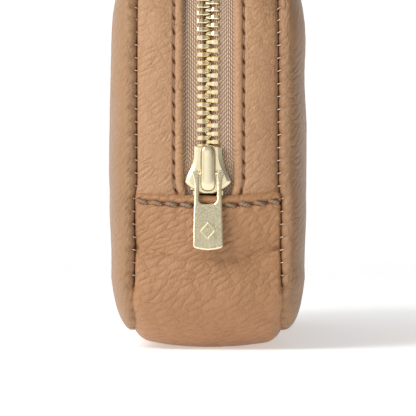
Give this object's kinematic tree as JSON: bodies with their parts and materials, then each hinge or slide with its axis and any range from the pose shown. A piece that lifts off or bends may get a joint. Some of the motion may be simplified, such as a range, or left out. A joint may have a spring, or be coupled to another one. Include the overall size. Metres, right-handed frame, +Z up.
{
  "type": "zippered pouch",
  "caption": "Boxy leather pouch with domed side panels, a wraparound gusset and a metal zip that runs up one end, over the top and down the other, with a locking slider and pull tab.",
  "frame": {"origin": "centre of the flat underside of the bottom gusset", "axes": "+Z up, +Y along the pouch from the slider's end to the far end, X across the depth from side panel to side panel"},
  "size_m": [0.057, 0.1946, 0.1116],
  "materials": {
    "panel_leather": "soft matte pebbled leather, tan",
    "gusset_leather": "soft matte pebbled leather, tan",
    "strip_leather": "soft matte pebbled leather, tan",
    "zip_tape": "woven herringbone tape, rosy tan",
    "zip_metal": "pale gold, polished teeth",
    "slider_metal": "pale satin gold",
    "spring_steel": "bright spring steel",
    "thread": "bonded polyester thread, brown",
    "lining": "plain cotton twill, sand",
    "facing": "woven facing tape, sand",
    "foam": "open-cell padding foam, off-white",
    "board": "thin stiffening board, dark grey",
    "binding": "grosgrain binding tape, brown"
  },
  "bodies": {
    "pouch": {"left_panel": "panel_leather", "right_panel": "panel_leather", "bottom_gusset": "gusset_leather", "left_zip_strip": "strip_leather", "right_zip_strip": "strip_leather", "left_zip_tape": "zip_tape", "right_zip_tape": "zip_tape", "left_teeth": "zip_metal", "right_teeth": "zip_metal", "top_stops": "zip_metal", "bottom_stop": "zip_metal", "left_foam_pad": "foam", "right_foam_pad": "foam", "left_lining": "lining", "right_lining": "lining", "gusset_lining": "lining", "left_zip_facing": "facing", "right_zip_facing": "facing", "base_stiffener": "board", "left_seam_binding": "binding", "right_seam_binding": "binding", "left_topstitch": "thread", "right_topstitch": "thread", "near_edge_stitch": "thread", "far_edge_stitch": "thread", "left_seam_thread": "thread", "right_seam_thread": "thread"},
    "slider": {"slider_body": "slider_metal", "slider_cap": "slider_metal"},
    "pull": {"pull_tab": "slider_metal"},
    "lever": {"lock_lever": "spring_steel"}
  },
  "joints": [
    {"name": "slider_slide", "type": "slide", "parent": "pouch", "child": "slider", "axis": [0, 0, 1], "range_m": [0, 0.027], "deforming": ["left_teeth", "right_teeth"]},
    {"name": "pull_swing", "type": "hinge", "parent": "slider", "child": "pull", "pos_m": [0, -0.095, 0.0506], "axis": [-1, 0, 0], "range_deg": [0, 170]},
    {"name": "lever_lift", "type": "hinge", "parent": "slider", "child": "lever", "pos_m": [0, -0.0946, 0.0476], "axis": [1, 0, 0], "range_deg": [0, 3]}
  ],
  "couplings": [
    {"joint": "lever_lift", "follows": "pull_swing", "ratio": 0.0176}
  ]
}
